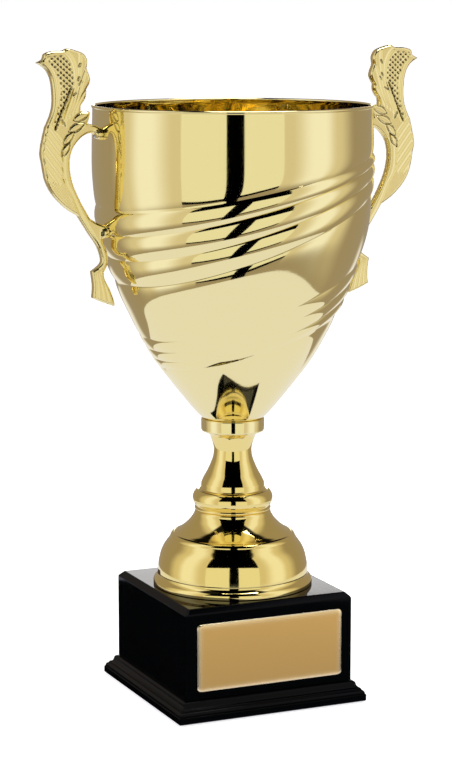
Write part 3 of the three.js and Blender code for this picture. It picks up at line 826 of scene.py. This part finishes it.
def handle_shape(side):
    """A casting with the same relief on both faces; the left one is the right one turned round."""
    outline = handle_outline()
    pitch = sizes().casting_pitch
    mesh = bmesh.new()
    # This layer holds painted shade: the darkening of the crevices in the casting's colour.
    recess_shade_layer = mesh.verts.layers.float.new("recess_shade")
    mesh.faces.new([mesh.verts.new((x, 0, z)) for x, z in outline])
    low = np.min(outline, axis=0)
    high = np.max(outline, axis=0)
    for axis, normal in ((0, (1, 0, 0)), (1, (0, 0, 1))):
        for place in np.arange(low[axis] + pitch / 2, high[axis], pitch):
            centre = (place, 0, 0) if axis == 0 else (0, 0, place)
            bmesh.ops.bisect_plane(mesh, geom=mesh.verts[:] + mesh.edges[:] + mesh.faces[:],
                                   dist=1e-4, plane_co=centre, plane_no=normal)
    bmesh.ops.remove_doubles(mesh, verts=mesh.verts, dist=0.02)
    back = mesh.verts[:]
    grown = bmesh.ops.extrude_face_region(mesh, geom=mesh.faces[:], use_keep_orig=True)["geom"]
    front = [item for item in grown if isinstance(item, bmesh.types.BMVert)]
    for points, facing in ((front, -1), (back, 1)):
        x = np.array([point.co.x for point in points])
        z = np.array([point.co.z for point in points])
        half, recess_shade = casting_relief(x, z, outline)
        half = round_bosses(x, z, half)
        for point, thick, deep in zip(points, half, recess_shade):
            point.co.y = facing * thick
            point[recess_shade_layer] = deep
    if side < 0:
        bmesh.ops.rotate(mesh, verts=mesh.verts, cent=(0, 0, 0), matrix=Matrix.Rotation(math.pi, 3, "Z"))
    seat_on_bowl(mesh, side)
    bmesh.ops.recalc_face_normals(mesh, faces=mesh.faces)
    return mesh


def seat_on_bowl(mesh, side):
    """Draws back whatever would lie inside the bowl's wall until it just touches it."""
    x = np.array([point.co.x for point in mesh.verts])
    y = np.array([point.co.y for point in mesh.verts])
    z = np.array([point.co.z for point in mesh.verts])
    least = np.sqrt(bowl_surface(x, z) ** 2 - y ** 2) + 0.02
    for point, limit in zip(mesh.verts, least):
        if point.co.x * side < limit and point.co.z > 268:
            point.co.x = side * limit


# ------------------------------------------------------------------ rod, nuts, washers and screws

THREAD_LENGTH = 14  # length of the thread on each end of the rod


def threaded(radius, low, high, plain_low, plain_high, pitch=1.0):
    """A stud with a rolled thread on both ends."""
    rows = [*np.arange(low, plain_low, pitch / 8), *np.arange(plain_high, high, pitch / 8), high]
    mesh = turned([(0, low), *[(radius, height) for height in rows], (0, high)], 24, closed=False)
    for point in mesh.verts:
        along = math.hypot(point.co.x, point.co.y)
        if along < radius / 2 or plain_low <= point.co.z <= plain_high:
            continue
        phase = (point.co.z / pitch - math.atan2(point.co.y, point.co.x) / (2 * math.pi)) % 1
        depth = 0.32 * abs(2 * phase - 1)
        factor = (radius - depth) / along
        point.co.x *= factor
        point.co.y *= factor
    return mesh


def nut_shape(low, high):
    """A hexagon nut with both faces chamfered."""
    corner = 10 / math.sqrt(3)
    return turned([(3.05, low), (corner - 0.7, low), (corner, low + 0.5), (corner, high - 0.5),
                   (corner - 0.7, high), (3.05, high)], 6)


def washer_shape(inner, outer, low, high):
    soft = 0.15
    return turned([(inner, low), (outer - soft, low), (outer, low + soft), (outer, high - soft),
                   (outer - soft, high), (inner, high)], 48)


def cross_recess(mesh, face_height, depth, arm, width):
    """Presses a cross into a screw's head."""
    for point in mesh.verts:
        x, y = abs(point.co.x), abs(point.co.y)
        in_cross = (x < arm and y < width) or (y < arm and x < width)
        if in_cross and abs(point.co.z - face_height) < 0.6:
            point.co.z += depth


def pan_screw_shape(depth):
    """A pan head screw along +Z, its head inside the bowl."""
    top = -depth - 0.8
    low = top - 2.2
    head = [(0, low)] + [(radius, low) for radius in np.linspace(0.25, 2.0, 8)]
    head += flowing([(2.0, low), (2.9, low + 0.35), (3.5, low + 1.1), (3.6, top)], 10)[1:]
    mesh = turned([*head, (2.0, top), (2.0, 3.6), (1.4, 4.4), (0, 4.4)], 48, closed=False)
    cross_recess(mesh, low, 1.1, 1.85, 0.42)
    return mesh


def wood_screw_shape():
    """A countersunk screw pointing up, its head level with the plinth's underside."""
    low, high = cad_box("plinth_screw_1")
    head = [(0, low.z)] + [(radius, low.z) for radius in np.linspace(0.25, 2.2, 9)]
    mesh = turned([*head, (3.6, low.z), (3.55, low.z + 0.3), (1.7, low.z + 2.1), (1.7, low.z + 8.0),
                   *[(1.7 - 0.45 * (step % 2), low.z + 8.0 + 0.7 * step) for step in range(1, 19)],
                   (0, high.z)], 40, closed=False)
    cross_recess(mesh, low.z, 1.3, 2.05, 0.45)
    return mesh


def fixing_matrix(side, height):
    """Local +Z points straight out of the bowl's wall."""
    lean = float(wall_radius(height + 1) - wall_radius(height - 1)) / 2
    outward = Vector((side, 0, -lean)).normalized()
    turn = Vector((0, 0, 1)).rotation_difference(outward).to_matrix().to_4x4()
    place = Vector((side * float(wall_radius(height)), 0, height)) * MM
    return Matrix.Translation(place) @ turn


# ------------------------------------------------------------------ operators

class TROPHY_OT_bowl(bpy.types.Operator):
    """Spins the bowl, tips its rows and presses in the folds"""

    bl_idname = "trophy.bowl"
    bl_label = "Bowl"

    def execute(self, context):
        finished("spun_bowl", bowl_shape(), spun_gold(), ["bowl"], crease=50)
        return {"FINISHED"}


class TROPHY_OT_riser(bpy.types.Operator):
    """Turns the collar, the neck and the foot"""

    bl_idname = "trophy.riser"
    bl_label = "Riser"

    def execute(self, context):
        moulding = plated_moulding()
        finished("foot_shell", foot_shape(), moulding, ["foot_bell"], crease=40)
        finished("neck_shell", neck_shape(), moulding, ["stem_neck"], crease=40)
        finished("collar_ring", collar_shape(), spun_gold(), ["collar"], crease=40)
        return {"FINISHED"}


class TROPHY_OT_handles(bpy.types.Operator):
    """Models the two relief castings and seats them on the bowl"""

    bl_idname = "trophy.handles"
    bl_label = "Handles"

    def execute(self, context):
        casting = cast_gold()
        for side, word in SIDES:
            finished(f"casting_{word}", handle_shape(side), casting, [f"handle_{word}"],
                     crease=60)
        return {"FINISHED"}


class TROPHY_OT_base(bpy.types.Operator):
    """Makes the lacquered block, the plinth moulding and the felt"""

    bl_idname = "trophy.base"
    bl_label = "Base"

    def execute(self, context):
        lacquer = piano_lacquer()
        finished("lacquered_block", block_shape(), lacquer, ["base_block"], crease=60,
                 flat_faced=True)
        finished("lacquered_plinth", plinth_shape(), lacquer, ["base_plinth"],
                 crease=40, flat_faced=True)
        finished("felt_sheet", felt_shape(), wool_felt(), ["felt_pad"])
        return {"FINISHED"}


class TROPHY_OT_nameplate(bpy.types.Operator):
    """Makes the blank plate and the tape behind it"""

    bl_idname = "trophy.nameplate"
    bl_label = "Nameplate"

    def execute(self, context):
        finished("blank_plate", plate_shape(), brushed_plate(), ["nameplate"], crease=60)
        finished("mounting_tape", tape_shape(), foam_tape(), ["nameplate_adhesive"])
        return {"FINISHED"}


class TROPHY_OT_hardware(bpy.types.Operator):
    """Makes the tie rod, nuts, washers and screws"""

    bl_idname = "trophy.hardware"
    bl_label = "Hardware"

    def execute(self, context):
        zinc = zinc_plate()
        stud = threaded(3.0, ROD_LOW.z, ROD_HIGH.z, ROD_LOW.z + THREAD_LENGTH, ROD_HIGH.z - THREAD_LENGTH)
        finished("threaded_rod", stud, zinc, ["tie_rod"])
        for node in ("base_nut", "bowl_nut"):
            low, high = cad_box(node)
            finished(f"{node}_hex", nut_shape(low.z, high.z), zinc, [node], crease=20)
        for node in ("base_washer", "bowl_washer"):
            low, high = cad_box(node)
            finished(f"{node}_disc", washer_shape(ROD_HOLE, high.x, low.z, high.z), zinc,
                     [node])
        for number in range(1, 5):
            low, high = cad_box(f"plinth_screw_{number}")
            place = Matrix.Translation(Vector(((low.x + high.x) / 2, (low.y + high.y) / 2, 0)) * MM)
            finished(f"wood_screw_{number}", wood_screw_shape(), zinc,
                     [f"plinth_screw_{number}"], place=place)
        self.handle_fixings(zinc)
        return {"FINISHED"}

    def handle_fixings(self, zinc):
        for side, word in SIDES:
            for height, level in ((UPPER_SCREW, "upper"), (LOWER_SCREW, "lower")):
                depth = 2.9 if (word, level) == ("left", "lower") else 1.7
                place = fixing_matrix(side, height)
                finished(f"pan_screw_{word}_{level}", pan_screw_shape(depth), zinc,
                         [f"handle_screw_{word}_{level}"], place=place)
                finished(f"flat_washer_{word}_{level}", washer_shape(2.3, 4.4, -depth - 0.8, -depth), zinc,
                         [f"handle_washer_{word}_{level}"], place=place)


# ------------------------------------------------------------------ stage

class TrophyStage(bpy.types.PropertyGroup):
    """Camera and room. Azimuths are seen from above, 0 being straight in front of the nameplate."""

    azimuth: FloatProperty(name="Azimuth", description="Where the camera stands", subtype="ANGLE",
                           default=math.radians(-24.19))
    pitch: FloatProperty(name="Pitch", description="How far the camera looks down", subtype="ANGLE",
                         default=math.radians(9.52))
    distance: FloatProperty(name="Distance", description="From the camera to the cup's axis",
                            subtype="DISTANCE", default=1.3545, min=0.3)
    height: FloatProperty(name="Height", description="Height of the camera", subtype="DISTANCE", default=0.41)
    pan: FloatProperty(name="Pan", description="How far the camera looks past the axis", subtype="ANGLE",
                       default=math.radians(0.152))
    lens: FloatProperty(name="Lens", description="Focal length in millimetres", default=110.75, min=10)
    table_radius: FloatProperty(name="Bright table", description="Radius of the lit round table",
                                subtype="DISTANCE", default=0.39, min=0.1)


def around(azimuth, distance, height):
    """A place at an azimuth from the cup's axis."""
    return Vector((math.sin(azimuth) * distance, -math.cos(azimuth) * distance, height))


def stage():
    return bpy.context.scene.trophy_stage


def add_disc(name, radius, height, material):
    """A round sheet lying flat, kept out of the object."""
    mesh = bmesh.new()
    bmesh.ops.create_circle(mesh, cap_ends=True, segments=96, radius=radius)
    bmesh.ops.translate(mesh, verts=mesh.verts, vec=(0, 0, height))
    data = bpy.data.meshes.new(name)
    mesh.to_mesh(data)
    mesh.free()
    data.materials.append(material)
    disc = bpy.data.objects.new(name, data)
    bpy.context.scene.collection.objects.link(disc)
    return disc


def lit_floor():
    """Opal board lit from below: the pale floor that the camera sees, with only a soft shadow on it."""
    material, shader = new_material("opal_board_lit_from_below", Base_Color=colours().floor, Roughness=0.9)
    shader.inputs["Emission Color"].default_value = (1, 1, 1, 1)
    shader.inputs["Emission Strength"].default_value = 0.78
    return material


# Light of each part of the room, as linear red, green and blue.
LOUVRE_RADIUS = 0.3  # metres
TABLE_WHITE = (0.85, 0.874, 1.07)
ROOM_GREY = (0.36, 0.31, 0.27)
FRONT_PANEL = (0.87, 0.88, 0.86)

SIDE_LIGHT = (0.97, 1.0, 1.2)
SPILL = (0.72, 0.67, 0.6)

# Light round the room by degrees from the camera's side: a soft light on each side that fades into grey.
ROOM_LIGHTS = [(48, SPILL), (70, SIDE_LIGHT), (80, SIDE_LIGHT), (95, SPILL), (118, ROOM_GREY)]
BACKDROP = (0.88, 0.88, 0.95)
FRONT_HALF_ANGLE = 42  # degrees to each side that the two front panels cover
BACKDROP_EDGES = (146, 158)  # degrees between which the backdrop fades in


def louvred_table():
    """Light table as polished metal mirrors it: bright from above, its louvred middle dark from low down."""
    material, shader = new_material("louvred_light_table", Base_Color=(0, 0, 0), Roughness=1.0)
    shader.inputs["Specular IOR Level"].default_value = 0
    facing = add_node(material, "ShaderNodeLayerWeight", {"Blend": 0.5})
    louvre = add_node(material, "ShaderNodeMapRange",
                      {"interpolation_type": "SMOOTHSTEP", "From Min": 0.69, "From Max": 0.57},
                      Value=facing.outputs["Facing"])
    place = add_node(material, "ShaderNodeTexCoord")
    reach = add_node(material, "ShaderNodeVectorMath", {"operation": "LENGTH"}, i0=place.outputs["Object"])
    border = add_node(material, "ShaderNodeMath", {"operation": "GREATER_THAN", "i1": LOUVRE_RADIUS},
                      i0=reach)
    lit = add_node(material, "ShaderNodeMath", {"operation": "MAXIMUM"}, i0=louvre, i1=border)
    shader.inputs["Emission Color"].default_value = (*TABLE_WHITE, 1)
    link(material, lit, shader.inputs["Emission Strength"])
    return material


def add_room_light():
    """The studio as polished metal mirrors it: two front panels, a dark gap, side lights and a backdrop."""
    world = bpy.data.worlds.new("studio_room")
    bpy.context.scene.world = world
    world.use_nodes = True
    place = add_node(world, "ShaderNodeTexCoord")
    turned_place = add_node(world, "ShaderNodeMapping", {"Rotation": (0, 0, -stage().azimuth)},
                            Vector=place.outputs["Generated"])
    axes = add_node(world, "ShaderNodeSeparateXYZ", Vector=turned_place)
    right, away, up = axes.outputs["X"], axes.outputs["Y"], axes.outputs["Z"]
    toward = add_node(world, "ShaderNodeMath", {"operation": "MULTIPLY", "i1": -1.0}, i0=away)
    aside = add_node(world, "ShaderNodeMath", {"operation": "ABSOLUTE"}, i0=right)
    angle = add_node(world, "ShaderNodeMath", {"operation": "ARCTAN2"}, i0=aside, i1=toward)
    turn = add_node(world, "ShaderNodeMath", {"operation": "DIVIDE", "i1": math.pi}, i0=angle)

    ring = add_node(world, "ShaderNodeValToRGB", i0=turn)
    stops = ring.color_ramp.elements
    ring.color_ramp.interpolation = "EASE"
    for number, (degrees, colour) in enumerate(ROOM_LIGHTS):
        stop = stops[number] if number < 2 else stops.new(degrees / 180)
        stop.position = degrees / 180
        stop.color = (*colour, 1)
    low_fade = add_node(world, "ShaderNodeMapRange",
                        {"interpolation_type": "SMOOTHSTEP", "From Min": -0.62, "From Max": -0.3}, Value=up)
    lowered = add_node(world, "ShaderNodeMix", {"data_type": "RGBA", "A": (*ROOM_GREY, 1)},
                       Factor=low_fade, B=ring)
    fade_from, fade_to = BACKDROP_EDGES
    rear = add_node(world, "ShaderNodeMapRange",
                    {"interpolation_type": "SMOOTHSTEP", "From Min": fade_from / 180,
                     "From Max": fade_to / 180}, Value=turn)
    foot_of_rear = add_node(world, "ShaderNodeMapRange",
                            {"interpolation_type": "SMOOTHSTEP", "From Min": -0.18, "From Max": -0.23},
                            Value=up)
    behind = add_node(world, "ShaderNodeMath", {"operation": "MULTIPLY"}, i0=rear, i1=foot_of_rear)
    walls = add_node(world, "ShaderNodeMix", {"data_type": "RGBA", "B": (*BACKDROP, 1)},
                     Factor=behind, A=lowered)
    side_top = add_node(world, "ShaderNodeMath", {"operation": "MULTIPLY", "i1": 1.9}, i0=aside)
    back_top = add_node(world, "ShaderNodeMath", {"operation": "MULTIPLY", "i1": 0.5}, i0=away)
    top = add_node(world, "ShaderNodeMath", {"operation": "MAXIMUM"}, i0=side_top, i1=back_top)
    over = add_node(world, "ShaderNodeMath", {"operation": "SUBTRACT"}, i0=top, i1=up)
    top_fade = add_node(world, "ShaderNodeMapRange",
                        {"interpolation_type": "SMOOTHSTEP", "From Min": -0.04, "From Max": 0.12,
                         "To Min": 0.012, "To Max": 1.0}, Value=over)
    sides = add_node(world, "ShaderNodeVectorMath", {"operation": "SCALE"}, i0=walls, Scale=top_fade)

    sweep = add_node(world, "ShaderNodeMath", {"operation": "DIVIDE"}, i0=right, i1=toward)
    rise = add_node(world, "ShaderNodeMath", {"operation": "DIVIDE"}, i0=up, i1=toward)
    gap = add_node(world, "ShaderNodeMath", {"operation": "COMPARE", "i1": 0.04, "i2": 0.124}, i0=sweep)
    solid = add_node(world, "ShaderNodeMath", {"operation": "SUBTRACT", "i0": 1.0}, i1=gap)
    tall = add_node(world, "ShaderNodeMath", {"operation": "COMPARE", "i1": -0.045, "i2": 0.49}, i0=rise)
    below = add_node(world, "ShaderNodeMath", {"operation": "LESS_THAN", "i1": -0.66}, i0=rise)
    panel = add_node(world, "ShaderNodeMath", {"operation": "MULTIPLY"}, i0=tall, i1=solid)
    ground = add_node(world, "ShaderNodeMath", {"operation": "MULTIPLY"}, i0=below, i1=solid)
    panel_light = add_node(world, "ShaderNodeVectorMath", {"operation": "SCALE", "i0": FRONT_PANEL},
                           Scale=panel)
    ground_light = add_node(world, "ShaderNodeVectorMath", {"operation": "SCALE", "i0": ROOM_GREY},
                            Scale=ground)
    front = add_node(world, "ShaderNodeVectorMath", {"operation": "ADD"}, i0=panel_light, i1=ground_light)
    ahead = add_node(world, "ShaderNodeMath", {"operation": "LESS_THAN", "i1": FRONT_HALF_ANGLE / 180},
                     i0=turn)
    room = add_node(world, "ShaderNodeMix", {"data_type": "RGBA"}, Factor=ahead, A=sides, B=front)

    path = add_node(world, "ShaderNodeLightPath")
    seen = add_node(world, "ShaderNodeMix", {"data_type": "RGBA", "B": (1, 1, 1, 1)},
                    Factor=path.outputs["Is Camera Ray"], A=room)
    link(world, seen, world.node_tree.nodes["Background"].inputs["Color"])


def add_softbox(name, right, toward, height, width, depth, radiance, tilt=0):
    """A softbox to the camera's right and towards it, facing down, or facing the camera when tilted."""
    light = bpy.data.lights.new(name, "AREA")
    light.shape = "RECTANGLE"
    light.size = width
    light.size_y = depth
    light.energy = radiance * math.pi * width * depth
    box = bpy.data.objects.new(name, light)
    box.location = around(stage().azimuth, toward, height) + around(stage().azimuth + math.pi / 2, right, 0)
    box.rotation_euler = (tilt, 0, stage().azimuth)
    box.visible_camera = False
    bpy.context.scene.collection.objects.link(box)


class TROPHY_OT_stage(bpy.types.Operator):
    """Sets the camera, the floor and the soft lights"""

    bl_idname = "trophy.stage"
    bl_label = "Stage"

    def execute(self, context):
        lens = bpy.data.cameras.new("studio_camera")
        lens.lens = stage().lens
        lens.sensor_width = 36
        camera = bpy.data.objects.new("studio_camera", lens)
        camera.location = around(stage().azimuth, stage().distance, stage().height)
        camera.rotation_euler = (math.pi / 2 - stage().pitch, 0, stage().azimuth + stage().pan)
        context.scene.collection.objects.link(camera)
        context.scene.camera = camera
        context.scene.view_settings.view_transform = "Standard"
        floor = add_disc("studio_floor", 60, 0, lit_floor())
        floor.visible_glossy = False
        table = add_disc("mirrored_table", stage().table_radius, 0.0004, louvred_table())
        table.visible_camera = False
        table.visible_diffuse = False
        table.visible_shadow = False
        add_room_light()
        add_softbox("softbox_overhead", 0.19, 0.0, 1.6, 0.85, 0.6, 9.0)
        add_softbox("softbox_behind", 0.0, -1.5, 0.33, 0.42, 0.28, 2.7, tilt=-math.pi / 2)
        return {"FINISHED"}


# ------------------------------------------------------------------ panel and registration

MAKERS = [TROPHY_OT_bowl, TROPHY_OT_riser, TROPHY_OT_handles, TROPHY_OT_base, TROPHY_OT_nameplate,
          TROPHY_OT_hardware, TROPHY_OT_stage]


class VIEW3D_PT_trophy(bpy.types.Panel):
    """Lists the pieces and their settings"""

    bl_label = "Trophy"
    bl_idname = "VIEW3D_PT_trophy"
    bl_space_type = "VIEW_3D"
    bl_region_type = "UI"
    bl_category = "Trophy"

    def draw(self, context):
        for maker in MAKERS:
            self.layout.operator(maker.bl_idname)
        for group in (context.scene.trophy_sizes, context.scene.trophy_colours, context.scene.trophy_stage):
            box = self.layout.box()
            for name in group.__annotations__:
                box.prop(group, name)


GROUPS = {"trophy_sizes": TrophySizes, "trophy_colours": TrophyColours, "trophy_stage": TrophyStage}


def register():
    for group in (*GROUPS.values(), *MAKERS, VIEW3D_PT_trophy):
        bpy.utils.register_class(group)
    for name, group in GROUPS.items():
        setattr(bpy.types.Scene, name, PointerProperty(type=group))


def unregister():
    for name in GROUPS:
        delattr(bpy.types.Scene, name)
    for group in reversed((*GROUPS.values(), *MAKERS, VIEW3D_PT_trophy)):
        bpy.utils.unregister_class(group)


def main():
    register()
    bpy.ops.trophy.bowl()
    bpy.ops.trophy.riser()
    bpy.ops.trophy.handles()
    bpy.ops.trophy.base()
    bpy.ops.trophy.nameplate()
    bpy.ops.trophy.hardware()
    bpy.ops.trophy.stage()


if __name__ == "__main__":
    main()
